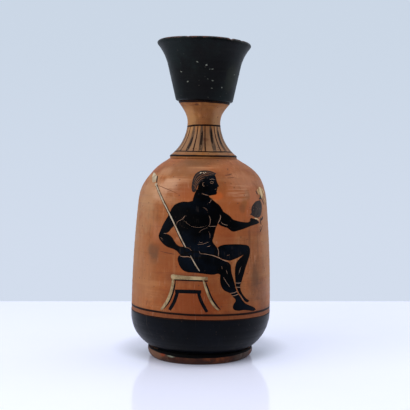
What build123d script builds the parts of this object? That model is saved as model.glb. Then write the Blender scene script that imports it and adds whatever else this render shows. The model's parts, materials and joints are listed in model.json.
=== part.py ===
from build123d import *
import os
from math import cos, radians, sin, tan

# Ancient oil flask of fired clay: a thrown foot, body, neck and mouth and a pulled strap handle,
# joined with slip. The painted front faces -Y and the handle is at +Y. The origin is the middle of
# the foot's underside, on the floor. Millimetres and degrees.

# How the flask stands: the hand-thrown body leans on its foot, and the mouth stands upright on the
# neck with its seat and its rim on a slant
BODY_LEAN = 1.0
MOUTH_SLANT = 2.6
LUTE = 0.4

# Foot
FOOT_HEIGHT = 5.7
FOOT_REST_RADIUS = 25.2
FOOT_WIDEST_RADIUS = 27.9
FOOT_WIDEST_HEIGHT = 4.1
FOOT_TOP_RADIUS = 27.2
FOOT_DISH_RADIUS = 20.0
FOOT_DISH_DEPTH = 1.2

# Body, with heights measured up its own axis from its base
BODY_BASE_RADIUS = 27.2
BELLY_RADIUS = 36.9
BELLY_HEIGHT = 17.9
SHOULDER_RADIUS = 34.05
SHOULDER_HEIGHT = 76.1
BODY_HEIGHT = 98.6
SHOULDER_SLOPE = 45.0
SHOULDER_LOWER_PULL = 17.5
SHOULDER_UPPER_PULL = 3.1
BODY_WALL = 3.2
BODY_FLOOR = 5.0
SHOULDER_HOLE_RADIUS = 8.6

# Neck, with heights measured up its own axis from its seat on the shoulder
NECK_SEAT_RADIUS = 18.3
NECK_BASE_RADIUS = 17.7
NECK_RIM_HEIGHT = 1.6
NECK_WAIST_RADIUS = 8.7
NECK_WAIST_HEIGHT = 19.2
NECK_TOP_RADIUS = 13.8
NECK_HEIGHT = 29.7
NECK_TOP_SLOPE = 36.0
NECK_WAIST_PULL = 4.4
NECK_TOP_PULL = 4.0
NECK_BORE_RADIUS = 5.0

# Mouth, with heights measured up its upright axis from its seat on the neck
MOUTH_BASE_RADIUS = 15.2
MOUTH_CORNER_RADIUS = 0.9
MOUTH_CUP_RADIUS = 19.2
MOUTH_CUP_HEIGHT = 18.5
LIP_RADIUS = 24.4
LIP_HEIGHT = 29.0
LIP_ROUND = 1.4
MOUTH_WALL = 3.0
THROAT_RADIUS = 6.5
THROAT_DEPTH = 1.6
CUP_FLOOR_HEIGHT = 6.0

# Handle: its joint on the neck is measured up from the neck's seat, its reach out from the axis
HANDLE_WIDTH = 13.0
HANDLE_THICKNESS = 4.8
HANDLE_EDGE_RADIUS = 2.0
HANDLE_REACH = 27.0
HANDLE_BEND_RADIUS = 14.0
HANDLE_RISE = 1.5
HANDLE_JOINT_HEIGHT = 23.6
HANDLE_PAD_MARGIN = 0.8

UPWARD = (0, 1)
DOWNWARD = (0, -1)
OUTWARD = (1, 0)

# Where each piece stands, from the foot up
foot_seat = Pos(0, 0, FOOT_HEIGHT) * Rot(0, BODY_LEAN, 0)
body_frame = foot_seat * Pos(0, 0, LUTE)
neck_frame = body_frame * Pos(0, 0, BODY_HEIGHT)
neck_top = neck_frame * Pos(0, 0, NECK_HEIGHT) * Rot(0, MOUTH_SLANT - BODY_LEAN, 0)
mouth_seat = Pos((neck_top * Pos(0, 0, LUTE)).position)


def turned(frame, *edges):
    """One thrown piece: its half section, drawn as radius and height, turned about its own axis."""
    section = Plane.XZ * make_face(Curve() + list(edges))
    return frame * revolve(section, Axis.Z)


def eased(start, leaving, end, arriving):
    """A smooth curve from start to end, pulled along the given vectors at its two ends."""
    after_start = (start[0] + leaving[0], start[1] + leaving[1])
    before_end = (end[0] - arriving[0], end[1] - arriving[1])
    return Bezier(start, after_start, before_end, end)


# Foot: a disc with a rounded edge, dished beneath and trimmed on top to the body's lean
def foot():
    centre = (0, FOOT_DISH_DEPTH)
    rest_edge = (FOOT_REST_RADIUS, 0)
    widest = (FOOT_WIDEST_RADIUS, FOOT_WIDEST_HEIGHT)
    top_edge = (FOOT_TOP_RADIUS, FOOT_HEIGHT)
    stock_top = FOOT_HEIGHT + FOOT_TOP_RADIUS * sin(radians(BODY_LEAN)) + LUTE
    dish = TangentArc(centre, (FOOT_DISH_RADIUS, 0), tangent=OUTWARD)
    rest = Line(dish @ 1, rest_edge)
    lower_edge = TangentArc(widest, rest_edge, tangent=DOWNWARD)
    upper_edge = TangentArc(widest, top_edge, tangent=UPWARD)
    stock_line = Polyline(top_edge, (FOOT_TOP_RADIUS, stock_top), (0, stock_top), centre)
    stock = turned(Pos(), dish, rest, lower_edge, upper_edge, stock_line)
    return split(stock, Plane(foot_seat), keep=Keep.BOTTOM)


# Slip bed: covers the seat between the foot and the body's base
def foot_lute():
    seat = FOOT_TOP_RADIUS - LUTE
    return turned(foot_seat, Polyline((0, 0), (seat, 0), (seat, LUTE), (0, LUTE), (0, 0)))


def body_line(foot_point, inset, top):
    """One side of the body's wall: from a foot point out to the belly, up and over the shoulder."""
    belly = (BELLY_RADIUS - inset, BELLY_HEIGHT)
    shoulder = (SHOULDER_RADIUS - inset, SHOULDER_HEIGHT)
    slope = radians(SHOULDER_SLOPE)
    lower = TangentArc(belly, foot_point, tangent=DOWNWARD)
    wall = TangentArc(belly, shoulder, tangent=UPWARD)
    leaving = (wall % 1) * SHOULDER_LOWER_PULL
    arriving = (-SHOULDER_UPPER_PULL * sin(slope), SHOULDER_UPPER_PULL * cos(slope))
    over = eased(shoulder, (leaving.X, leaving.Y), top, arriving)
    return [lower, wall, over]


# Body: wall, floor and shoulder thrown in one, with a flat seat and a hole for the neck
def body():
    ceiling = BODY_HEIGHT - BODY_WALL
    base = (BODY_BASE_RADIUS, 0)
    seat = (NECK_SEAT_RADIUS, BODY_HEIGHT)
    floor_edge = (BODY_BASE_RADIUS - BODY_WALL, BODY_FLOOR)
    under_seat = (NECK_SEAT_RADIUS, ceiling)
    outside = body_line(base, 0, seat)
    inside = body_line(floor_edge, BODY_WALL, under_seat)
    floor = Polyline(base, (0, 0), (0, BODY_FLOOR), floor_edge)
    hole = Polyline(seat, (SHOULDER_HOLE_RADIUS, BODY_HEIGHT), (SHOULDER_HOLE_RADIUS, ceiling), under_seat)
    return turned(body_frame, *outside, *inside, floor, hole)


# Slip ring: fills the step between the neck's spigot, its flared base and the shoulder
def neck_lute():
    inner = SHOULDER_HOLE_RADIUS - LUTE
    outer = NECK_BASE_RADIUS - LUTE
    ring = Polyline((inner, -BODY_WALL), (SHOULDER_HOLE_RADIUS, -BODY_WALL), (SHOULDER_HOLE_RADIUS, 0),
                    (outer, 0), (outer, LUTE), (inner, LUTE), (inner, -BODY_WALL))
    return turned(neck_frame, ring)


def neck_line(stand_off):
    """The neck's outer line: from its waist down to the base rim and up to the mouth."""
    rim = (NECK_BASE_RADIUS + stand_off, NECK_RIM_HEIGHT)
    waist = (NECK_WAIST_RADIUS + stand_off, NECK_WAIST_HEIGHT)
    top = (NECK_TOP_RADIUS + stand_off, NECK_HEIGHT)
    slope = radians(NECK_TOP_SLOPE)
    flare = TangentArc(waist, rim, tangent=DOWNWARD)
    leaving = (0, NECK_WAIST_PULL)
    arriving = (NECK_TOP_PULL * sin(slope), NECK_TOP_PULL * cos(slope))
    return [flare, eased(waist, leaving, top, arriving)]


# Neck: a flaring tube with a spigot below and a top trimmed to the mouth's slant
def neck():
    spigot = SHOULDER_HOLE_RADIUS - LUTE
    stock_top = NECK_HEIGHT + NECK_TOP_RADIUS * sin(radians(MOUTH_SLANT)) + LUTE
    inner_line = Polyline((NECK_TOP_RADIUS, NECK_HEIGHT), (NECK_TOP_RADIUS, stock_top),
                          (NECK_BORE_RADIUS, stock_top), (NECK_BORE_RADIUS, -BODY_WALL),
                          (spigot, -BODY_WALL), (spigot, LUTE),
                          (NECK_BASE_RADIUS, LUTE), (NECK_BASE_RADIUS, NECK_RIM_HEIGHT))
    stock = turned(neck_frame, *neck_line(0), inner_line)
    return split(stock, Plane(neck_top), keep=Keep.BOTTOM)


# Slip ring: between the neck's trimmed top and the underside of the mouth
def mouth_lute():
    outer = NECK_TOP_RADIUS - LUTE
    ring = Polyline((THROAT_RADIUS, 0), (outer, 0), (outer, LUTE), (THROAT_RADIUS, LUTE), (THROAT_RADIUS, 0))
    return turned(neck_top, ring)


# Mouth: a calyx cup that runs straight up, flares and ends in a rounded lip, pressed out of level
def mouth():
    underside = (MOUTH_BASE_RADIUS - MOUTH_CORNER_RADIUS, 0)
    side_foot = (MOUTH_BASE_RADIUS, MOUTH_CORNER_RADIUS)
    side = Line(side_foot, (MOUTH_CUP_RADIUS, MOUTH_CUP_HEIGHT))
    corner = TangentArc(underside, side_foot, tangent=OUTWARD)
    flare = TangentArc(side @ 1, (LIP_RADIUS, LIP_HEIGHT), tangent=side % 1)
    along_side = side % 1
    along_lip = flare % 1
    cup_top = (MOUTH_CUP_RADIUS - MOUTH_WALL * along_side.Y, MOUTH_CUP_HEIGHT + MOUTH_WALL * along_side.X)
    lip_inside = (LIP_RADIUS - MOUTH_WALL * along_lip.Y, LIP_HEIGHT + MOUTH_WALL * along_lip.X)
    inner_flare = TangentArc(cup_top, lip_inside, tangent=along_side)
    lip = SagittaArc(flare @ 1, lip_inside, -LIP_ROUND)
    cup_line = Polyline(cup_top, (MOUTH_BASE_RADIUS - MOUTH_WALL, CUP_FLOOR_HEIGHT),
                        (THROAT_RADIUS, THROAT_DEPTH), (THROAT_RADIUS, 0), underside)
    level = turned(Pos(), corner, side, flare, lip, inner_flare, cup_line)
    slant = Matrix([[1, 0, 0, 0], [0, 1, 0, 0], [-tan(radians(MOUTH_SLANT)), 0, 1, 0]])
    return mouth_seat * level.transform_geometry(slant)


def strap(margin):
    """The handle's strap with its ends run on into the neck and the shoulder, grown by a margin."""
    joint = BODY_HEIGHT + HANDLE_JOINT_HEIGHT
    path = FilletPolyline((0, NECK_BORE_RADIUS, joint), (0, HANDLE_REACH, joint + HANDLE_RISE),
                          (0, HANDLE_REACH, SHOULDER_HEIGHT), radius=HANDLE_BEND_RADIUS)
    section = RectangleRounded(HANDLE_WIDTH + 2 * margin, HANDLE_THICKNESS + 2 * margin,
                               HANDLE_EDGE_RADIUS + margin)
    start = Plane(path @ 0, x_dir=(1, 0, 0), z_dir=path % 0)
    return body_frame * sweep(start * section, path)


def outer_form(stand_off):
    """The outer forms of body and neck as one block, grown by a stand-off."""
    base = (BODY_BASE_RADIUS + stand_off, 0)
    seat = (NECK_SEAT_RADIUS, BODY_HEIGHT + stand_off)
    body_core = Polyline(seat, (0, BODY_HEIGHT + stand_off), (0, 0), base)
    neck_core = Polyline((NECK_TOP_RADIUS + stand_off, NECK_HEIGHT), (0, NECK_HEIGHT), (0, 0),
                         (NECK_BASE_RADIUS + stand_off, 0), (NECK_BASE_RADIUS + stand_off, NECK_RIM_HEIGHT))
    body_block = turned(body_frame, *body_line(base, -stand_off, seat), body_core)
    return body_block + turned(neck_frame, *neck_line(stand_off), neck_core)


# Handle: a flat strap from the upper neck out and down to the shoulder, cut to their curves
def handle():
    return strap(0) - outer_form(LUTE)


# Slip pads: one under each end of the handle, as thick as the other joints
def handle_lutes():
    return (strap(HANDLE_PAD_MARGIN) & outer_form(LUTE)) - outer_form(0)


os.makedirs("parts", exist_ok=True)
for make in (foot, foot_lute, body, neck_lute, neck, mouth_lute, mouth, handle, handle_lutes):
    export_step(make(), f"parts/{make.__name__}.step")
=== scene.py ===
import json
import math

import bmesh
import bpy
import numpy as np
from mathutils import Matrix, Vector
from mathutils.bvhtree import BVHTree
from mathutils.geometry import delaunay_2d_cdt


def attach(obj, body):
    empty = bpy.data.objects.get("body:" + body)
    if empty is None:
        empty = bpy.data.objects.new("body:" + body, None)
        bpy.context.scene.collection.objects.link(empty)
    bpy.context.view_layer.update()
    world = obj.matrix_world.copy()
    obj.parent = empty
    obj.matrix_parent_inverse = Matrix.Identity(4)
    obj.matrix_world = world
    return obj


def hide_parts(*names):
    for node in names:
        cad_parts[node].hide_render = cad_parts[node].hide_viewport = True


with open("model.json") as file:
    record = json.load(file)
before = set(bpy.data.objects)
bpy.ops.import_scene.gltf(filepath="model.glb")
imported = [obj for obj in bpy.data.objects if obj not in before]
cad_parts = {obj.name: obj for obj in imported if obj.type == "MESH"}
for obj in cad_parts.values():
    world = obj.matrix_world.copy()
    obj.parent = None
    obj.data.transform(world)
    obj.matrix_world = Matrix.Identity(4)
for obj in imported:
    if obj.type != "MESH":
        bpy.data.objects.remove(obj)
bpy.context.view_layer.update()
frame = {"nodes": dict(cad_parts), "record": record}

# Foot: a thrown disc of orange clay with a rounded edge and a shallow dish turned under it.
# It is luted under the body, which leans on it by one degree.
# The flask's sizes are in millimetres here and below, and angles run from the painted front towards +X.
MM = 0.001
AROUND = 240
SHARP_EDGE = math.radians(52)
FEELER = 100.0
FOOT_TOP = 5.7
FOOT_RIM = 27.0
FOOT_TRUENESS = 40.0
FOOT_ROUNDING = [(0.12, 0.25), (0.35, 0.0)]
STANDING_RING = 2.0
DISH_RADIUS = 20.0
DISH_DEPTH = 1.2
DISH_STEP = 0.65
TURNING_PITCH = 2.6
TURNING_DEPTH = 0.05
BARE_RIM = 1.6
FOOT_CHIPS = [(-0.72, 0.05, 0.5), (-0.58, 0.03, 0.3), (0.9, 0.04, 0.35), (2.6, 0.07, 0.6), (-2.2, 0.05, 0.4)]
CHIPPED_RADIUS = 24.0
CHIPPED_HEIGHT = 3.4
CHIPPED_HALF = 2.4

bore = next(mount for mount in frame["record"]["mounts"] if mount["name"] == "neck_bore")
LEAN_UP = Vector(bore["axis"]).normalized()
LEAN_RIGHT = Vector((LEAN_UP.z, 0, -LEAN_UP.x))
AXIS_FOOT = Vector(bore["pos_m"]) - LEAN_UP * (bore["pos_m"][2] / LEAN_UP.z)
FRONT = Vector((0, -1, 0))
UPRIGHT = Vector((0, 0, 1))


def felt_outline(node, start, up, heights, inside=False):
    """Radius of a thrown CAD solid at each height up its axis, felt along a line from the front."""
    mesh = frame["nodes"][node].data
    tree = BVHTree.FromPolygons([v.co for v in mesh.vertices], [p.vertices for p in mesh.polygons])
    outline = []
    for height in heights:
        middle = start + up * (height * MM)
        from_axis = (middle, FRONT)
        from_front = (middle + FRONT * (FEELER * MM), -FRONT)
        hit = tree.ray_cast(*(from_axis if inside else from_front))[0]
        outline.append(((hit - middle).length / MM, height))
    return outline


def ring(first, steps, around):
    """The numbers of the corners round a ring and back to its first; a ring of one step is a point."""
    return [first + step % steps for step in range(around + 1)]


def joined(rings):
    """The faces between each ring of corners and the next."""
    faces = []
    for lower, upper in zip(rings, rings[1:]):
        for i in range(len(lower) - 1):
            face = list(dict.fromkeys((lower[i], lower[i + 1], upper[i + 1], upper[i])))
            if len(face) > 2:
                faces.append(face)
    return faces


def thrown(name, outline, place):
    """A thrown piece: its closed half outline of radius and height, turned once round the axis."""
    points = []
    rings = []
    for radius, height in outline:
        steps = AROUND if radius > 0 else 1
        rings.append(ring(len(points), steps, AROUND))
        points += [place(radius, 2 * math.pi * step / AROUND, height) for step in range(steps)]
    if outline[0][0] > 0:
        rings.append(rings[0])
    return fired(name, points, joined(rings))


def placed(name, data):
    """A new object in the scene."""
    piece = bpy.data.objects.new(name, data)
    bpy.context.scene.collection.objects.link(piece)
    return piece


def fired(name, points, faces):
    """A mesh object from points and faces, smooth, with its skin facing outwards."""
    mesh = bpy.data.meshes.new(name)
    mesh.from_pydata(points, [], faces)
    shell = bmesh.new()
    shell.from_mesh(mesh)
    bmesh.ops.recalc_face_normals(shell, faces=shell.faces)
    shell.to_mesh(mesh)
    shell.free()
    mesh.shade_smooth()
    mesh.set_sharp_from_angle(angle=SHARP_EDGE)
    return placed(name, mesh)


def throwing(angle, height):
    """How far a hand-thrown wall strays from true: slow ovalness and the ridges of the fingers."""
    oval = 0.09 * math.sin(2 * angle + 0.7) + 0.05 * math.sin(3 * angle - 0.03 * height)
    wide = 0.024 * math.sin(height * 1.61 + 0.5 * math.sin(angle + 0.1 * height))
    fine = 0.014 * math.sin(height * 3.4 + 0.8 * math.sin(angle - 1.0))
    return oval + wide + fine


def chipped(angle, chips):
    """Depth of the chips knocked out of an edge at an angle."""
    depth = 0
    for middle, width, bite in chips:
        away = abs((angle - middle + math.pi) % (2 * math.pi) - math.pi) / width
        depth += bite * max(0, 1 - away * away)
    return depth


def on_foot(radius, angle, height, lift=0.0):
    """A point of the foot, which stands level and is trimmed on top to the body's lean."""
    edge = max(0, 1 - abs(height - CHIPPED_HEIGHT) / CHIPPED_HALF) * (radius > CHIPPED_RADIUS)
    stray = throwing(angle, height) * radius / FOOT_TRUENESS
    reach = radius + lift + stray - chipped(angle, FOOT_CHIPS) * edge
    x = reach * math.sin(angle)
    trim = -x * LEAN_UP.x / LEAN_UP.z * min(1, height / FOOT_TOP)
    return Vector((x * MM, -reach * math.cos(angle) * MM, (height + trim) * MM))


def srgb(red, green, blue):
    """A colour written as it shows on a screen, for a shader socket."""
    shares = [value / 255 for value in (red, green, blue)]
    return [s / 12.92 if s < 0.04045 else ((s + 0.055) / 1.055) ** 2.4 for s in shares] + [1]


def lay(tree, kind, sockets=None, **settings):
    """One shader node, with its settings and what goes into its sockets."""
    made = tree.nodes.new("ShaderNode" + kind)
    for name, value in settings.items():
        setattr(made, name, value)
    for name, value in (sockets or {}).items():
        if isinstance(value, bpy.types.NodeSocket):
            tree.links.new(value, made.inputs[name])
        else:
            made.inputs[name].default_value = value
    return made


def over(tree, share, under, upper):
    """One colour laid over another by a share."""
    return lay(tree, "Mix", {0: share, 6: under, 7: upper}, data_type="RGBA").outputs[2]


def touched(tree, colour, mask, strength, tint):
    """A colour with a tint laid over it by a strength, where a mask has it."""
    return over(tree, sums(tree, "MULTIPLY", mask, strength), colour, tint)


def ranged(tree, value, low, high, bottom=0.0, top=1.0):
    """A value eased from one range to another."""
    sockets = {0: value, 1: low, 2: high, 3: bottom, 4: top}
    return lay(tree, "MapRange", sockets, interpolation_type="SMOOTHSTEP").outputs[0]


def sums(tree, operation, first, second):
    """One sum on two values."""
    return lay(tree, "Math", {0: first, 1: second}, operation=operation).outputs[0]


def new_effect(name, inputs, output):
    """An empty node group with named inputs, a coordinate fixed to the flask and one output."""
    tree = bpy.data.node_groups.new(name, "ShaderNodeTree")
    for label, value in inputs.items():
        kind = "NodeSocketVector" if isinstance(value, tuple) else "NodeSocketFloat"
        tree.interface.new_socket(label, in_out="INPUT", socket_type=kind).default_value = value
    tree.interface.new_socket(output, in_out="OUTPUT", socket_type="NodeSocketFloat")
    taken = tree.nodes.new("NodeGroupInput").outputs
    given = tree.nodes.new("NodeGroupOutput").inputs
    where = lay(tree, "TexCoord").outputs["Object"]
    return tree, taken, given, where


def effect(tree, group, **values):
    """A shared effect placed in a material with its own values."""
    return lay(tree, "Group", values, node_tree=group).outputs[0]


# Wheel marks: streaks that run round the pot, from the wheel and the burnishing stone
WHEEL_MARKS, taken, given, where = new_effect("wheel marks", {"Round": 16.0, "Up": 420.0}, "Mark")
stretch = lay(WHEEL_MARKS, "CombineXYZ", {0: taken["Round"], 1: taken["Round"], 2: taken["Up"]})
spun = lay(WHEEL_MARKS, "VectorMath", {0: where, 1: stretch.outputs[0]}, operation="MULTIPLY")
spun_noise = {"Vector": spun.outputs[0], "Scale": 1, "Detail": 5, "Roughness": 0.62}
streaks = lay(WHEEL_MARKS, "TexNoise", spun_noise)
WHEEL_MARKS.links.new(streaks.outputs[0], given["Mark"])

# Kiln mottle: clouds of colour from uneven firing
KILN_MOTTLE, taken, given, where = new_effect("kiln mottle", {"Scale": 40.0, "Low": 0.4, "High": 0.6}, "Mask")
cloud_noise = {"Vector": where, "Scale": taken["Scale"], "Detail": 6, "Roughness": 0.6}
clouds = lay(KILN_MOTTLE, "TexNoise", cloud_noise)
cloudy = ranged(KILN_MOTTLE, clouds.outputs[0], taken["Low"], taken["High"])
KILN_MOTTLE.links.new(cloudy, given["Mask"])

# Pits: scattered specks of unequal size, where grit has popped or slip has flaked
PITS, taken, given, where = new_effect("pits", {"Scale": 500.0, "Size": 0.2}, "Mask")
jostle = lay(PITS, "TexNoise", {"Vector": where, "Scale": 1500, "Detail": 2})
nudge_size = (0.0007, 0.0007, 0.0007)
nudge = lay(PITS, "VectorMath", {0: jostle.outputs["Color"], 1: nudge_size}, operation="MULTIPLY")
shifted = lay(PITS, "VectorMath", {0: where, 1: nudge.outputs[0]}, operation="ADD")
cells = lay(PITS, "TexVoronoi", {"Vector": shifted.outputs[0], "Scale": taken["Scale"]})
chance = lay(PITS, "SeparateColor", {0: cells.outputs["Color"]}).outputs[0]
largest = sums(PITS, "MULTIPLY", taken["Size"], ranged(PITS, chance, 0.78, 1.0))
depth = sums(PITS, "SUBTRACT", largest, cells.outputs["Distance"])
PITS.links.new(ranged(PITS, depth, 0.0, 0.08), given["Mask"])

# Scratches: fine broken lines up the wall and in over the shoulder, from handling and from the ground
SCRATCHES, taken, given, where = new_effect("scratches", {"Scale": 120.0, "Width": 0.02}, "Mask")
apart = lay(SCRATCHES, "SeparateXYZ", {0: where}).outputs
turned = sums(SCRATCHES, "ARCTAN2", apart[0], sums(SCRATCHES, "MULTIPLY", apart[1], -1.0))
round_way = sums(SCRATCHES, "MULTIPLY", sums(SCRATCHES, "MULTIPLY", turned, 0.03), taken["Scale"])
up_way = sums(SCRATCHES, "MULTIPLY", sums(SCRATCHES, "MULTIPLY", apart[2], 0.08), taken["Scale"])
drawn = lay(SCRATCHES, "CombineXYZ", {0: round_way, 1: up_way})
waves = lay(SCRATCHES, "TexNoise", {"Vector": drawn.outputs[0], "Scale": 1, "Detail": 2})
close = sums(SCRATCHES, "ABSOLUTE", sums(SCRATCHES, "SUBTRACT", waves.outputs[0], 0.5), 0.0)
line = sums(SCRATCHES, "SUBTRACT", 1.0, ranged(SCRATCHES, close, 0.0, taken["Width"]))
gaps = lay(SCRATCHES, "TexNoise", {"Vector": where, "Scale": 170, "Detail": 3})
broken = ranged(SCRATCHES, gaps.outputs[0], 0.54, 0.64)
SCRATCHES.links.new(sums(SCRATCHES, "MULTIPLY", line, broken), given["Mask"])

# Patch: one place with a ragged edge, at a point of the pot, that paints wear and stains, and also
# highlights, sheen and shade
patch_inputs = {"Place": (0.0, 0.0, 0.0), "Reach": (0.01, 0.01, 0.01)}
WEAR_AND_LIGHT_GROUP, taken, given, where = new_effect("wear and painted light patch", patch_inputs, "Mask")
apart = lay(WEAR_AND_LIGHT_GROUP, "VectorMath", {0: where, 1: taken["Place"]}, operation="SUBTRACT")
shares = lay(WEAR_AND_LIGHT_GROUP, "VectorMath", {0: apart.outputs[0], 1: taken["Reach"]}, operation="DIVIDE")
away = lay(WEAR_AND_LIGHT_GROUP, "VectorMath", {0: shares.outputs[0]}, operation="LENGTH").outputs["Value"]
torn = lay(WEAR_AND_LIGHT_GROUP, "TexNoise", {"Vector": where, "Scale": 260, "Detail": 5})
ragged = sums(WEAR_AND_LIGHT_GROUP, "MULTIPLY", sums(WEAR_AND_LIGHT_GROUP, "SUBTRACT", torn.outputs[0], 0.5), 0.8)
WEAR_AND_LIGHT_GROUP.links.new(ranged(WEAR_AND_LIGHT_GROUP, sums(WEAR_AND_LIGHT_GROUP, "ADD", away, ragged), 0.35, 1.0, 1.0, 0.0), given["Mask"])


def wear_and_light_patch(tree, place, reach):
    """The mask of one patch, with its reach in millimetres; patches paint wear and stains, and also
    highlights, sheen and shade.
    """
    return effect(tree, WEAR_AND_LIGHT_GROUP, Place=place, Reach=[side * MM for side in reach])


def new_finish(name):
    """An empty material: its tree and its shader."""
    material = bpy.data.materials.new(name)
    material.use_nodes = True
    return material, material.node_tree, material.node_tree.nodes["Principled BSDF"]


def surfaced(tree, shader, colour, roughness, gloss, relief, depth):
    """A fired surface: its colour, roughness, gloss, and relief from 0 to 1 with a depth in metres."""
    tree.links.new(colour, shader.inputs["Base Color"])
    tree.links.new(roughness, shader.inputs["Roughness"])
    shader.inputs["Specular IOR Level"].default_value = gloss
    bump = lay(tree, "Bump", {"Height": relief, "Distance": depth})
    tree.links.new(bump.outputs[0], shader.inputs["Normal"])


def clay_finish(name, plain, deep, pale, patches=()):
    """Burnished orange clay: fired unevenly, streaked by the wheel, with grit, handling marks and the given
    patches, some of them painted highlights and sheen.

    Each patch is its place, its reach in millimetres, its strength and its colour, and True where the
    wheel's streaks break it up.
    """
    material, tree, shader = new_finish(name)
    broad = effect(tree, WHEEL_MARKS, Round=9.0, Up=190.0)
    fine = effect(tree, WHEEL_MARKS, Round=30.0, Up=1100.0)
    combed = effect(tree, WHEEL_MARKS, Round=520.0, Up=24.0)
    colour = over(tree, effect(tree, KILN_MOTTLE, Scale=34.0, Low=0.38, High=0.66), plain, deep)
    glow = effect(tree, KILN_MOTTLE, Scale=100.0, Low=0.46, High=0.66)
    colour = touched(tree, colour, glow, 0.35, srgb(190, 98, 42))
    smoke = effect(tree, KILN_MOTTLE, Scale=155.0, Low=0.5, High=0.66)
    colour = touched(tree, colour, smoke, 0.26, srgb(122, 86, 54))
    grain = effect(tree, KILN_MOTTLE, Scale=430.0, Low=0.36, High=0.64)
    colour = over(tree, ranged(tree, grain, 0.0, 1.0, 0.0, 0.6), colour, deep)
    worn = effect(tree, KILN_MOTTLE, Scale=62.0, Low=0.36, High=0.6)
    streak = sums(tree, "MULTIPLY", ranged(tree, broad, 0.48, 0.74), ranged(tree, worn, 0.0, 1.0, 0.25, 0.62))
    colour = over(tree, streak, colour, pale)
    colour = over(tree, ranged(tree, fine, 0.52, 0.76, 0.0, 0.45), colour, srgb(98, 52, 28))
    comb = ranged(tree, worn, 0.0, 1.0, 0.6, 0.15)
    colour = touched(tree, colour, ranged(tree, combed, 0.52, 0.7), comb, srgb(106, 60, 34))
    colour = touched(tree, colour, ranged(tree, combed, 0.47, 0.31), comb, pale)
    # Patches: stains and wear, and also painted highlights and sheen
    for place, reach, strength, tint, *streaky in patches:
        patch_mask = wear_and_light_patch(tree, place, reach)
        if streaky:
            gaps = ranged(tree, effect(tree, WHEEL_MARKS, Round=60.0, Up=900.0), 0.38, 0.62)
            patch_mask = sums(tree, "MULTIPLY", patch_mask, gaps)
        colour = touched(tree, colour, patch_mask, strength, srgb(*tint))
    grit = effect(tree, PITS, Scale=620.0, Size=0.3)
    colour = touched(tree, colour, grit, 0.6, srgb(84, 52, 36))
    marks = effect(tree, SCRATCHES, Scale=260.0, Width=0.012)
    colour = touched(tree, colour, marks, 0.28, srgb(210, 160, 126))
    roughness = ranged(tree, broad, 0.3, 0.7, 0.48, 0.64)
    relief = sums(tree, "ADD", fine, sums(tree, "MULTIPLY", grit, -0.8))
    surfaced(tree, shader, colour, roughness, 0.22, relief, 0.00009)
    return material


FOOT_PATCHES = [
    # The first and last patches, lighter at the foot's left and right ends, are painted highlights.
    (on_foot(FOOT_RIM, -1.0, 3.6), (9, 12, 4), 0.6, (144, 102, 72)),
    (on_foot(FOOT_RIM, -0.777, 4.0), (2.2, 3, 1.6), 0.85, (156, 66, 34)),
    (on_foot(FOOT_RIM, -0.57, 4.3), (3.6, 4, 1.5), 0.9, (158, 164, 142)),
    (on_foot(FOOT_RIM, 1.0, 3.5), (9, 9, 6), 0.7, (84, 72, 62)),
]
# The foot's clay is coloured far darker than the body's: partly its own browner tone, partly painted shade
# from the overhanging belly.
FOOT_CLAY = clay_finish("foot clay", srgb(74, 35, 16), srgb(52, 23, 10), srgb(100, 55, 32), FOOT_PATCHES)

foot_profile = felt_outline("foot", Vector(), UPRIGHT, np.linspace(0.03, FOOT_TOP - 0.55, 16))
foot_side = foot_profile[-1][0]
foot_profile += [(foot_side - inwards, FOOT_TOP - down) for inwards, down in FOOT_ROUNDING]
foot_outline = [(0, DISH_DEPTH)]
for radius in np.arange(1.0, DISH_RADIUS, DISH_STEP):
    groove = TURNING_DEPTH * math.sin(2 * math.pi * radius / TURNING_PITCH)
    foot_outline.append((radius, DISH_DEPTH * (1 - (radius / DISH_RADIUS) ** 2) + groove))
foot_outline += [(DISH_RADIUS, 0), (DISH_RADIUS + STANDING_RING, 0)] + foot_profile
foot_outline += [(foot_profile[-1][0] - BARE_RIM, FOOT_TOP), (0, FOOT_TOP)]
foot = thrown("foot_clay", foot_outline, on_foot)
foot.data.materials.append(FOOT_CLAY)
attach(foot, "root")
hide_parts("foot")

# Lutes: the films of slip that join foot to body and neck to mouth before firing.
# They are of fired clay, only their edges show, and the painter's black slip was brushed over both.
def slip_finish(name, dark, light, gloss, roughness):
    """Fired black slip: brushed on, clouded by the kiln, with specks and scratches; in the bluish slips the
    clouding is also a painted sheen.
    """
    material, tree, shader = new_finish(name)
    brushed = effect(tree, WHEEL_MARKS, Round=60.0, Up=520.0)
    cloud = effect(tree, KILN_MOTTLE, Scale=70.0, Low=0.42, High=0.7)
    colour = over(tree, cloud, dark, light)
    colour = over(tree, ranged(tree, brushed, 0.6, 0.84, 0.0, 0.4), colour, srgb(26, 23, 22))
    speck = effect(tree, PITS, Scale=700.0, Size=0.22)
    colour = touched(tree, colour, speck, 0.35, srgb(84, 62, 50))
    marks = effect(tree, SCRATCHES, Scale=220.0, Width=0.01)
    colour = touched(tree, colour, marks, 0.15, srgb(92, 80, 72))
    rough = ranged(tree, cloud, 0.0, 1.0, roughness, roughness + 0.12)
    surfaced(tree, shader, colour, rough, gloss, sums(tree, "SUBTRACT", brushed, speck), 0.00006)
    return material


DULL_SLIP = slip_finish("dull slip", srgb(5, 5, 6), srgb(12, 11, 12), 0.05, 0.6)
for node in ("foot_lute", "mouth_lute"):
    lute = frame["nodes"][node]
    lute.data.materials.clear()
    lute.data.materials.append(DULL_SLIP)

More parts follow.
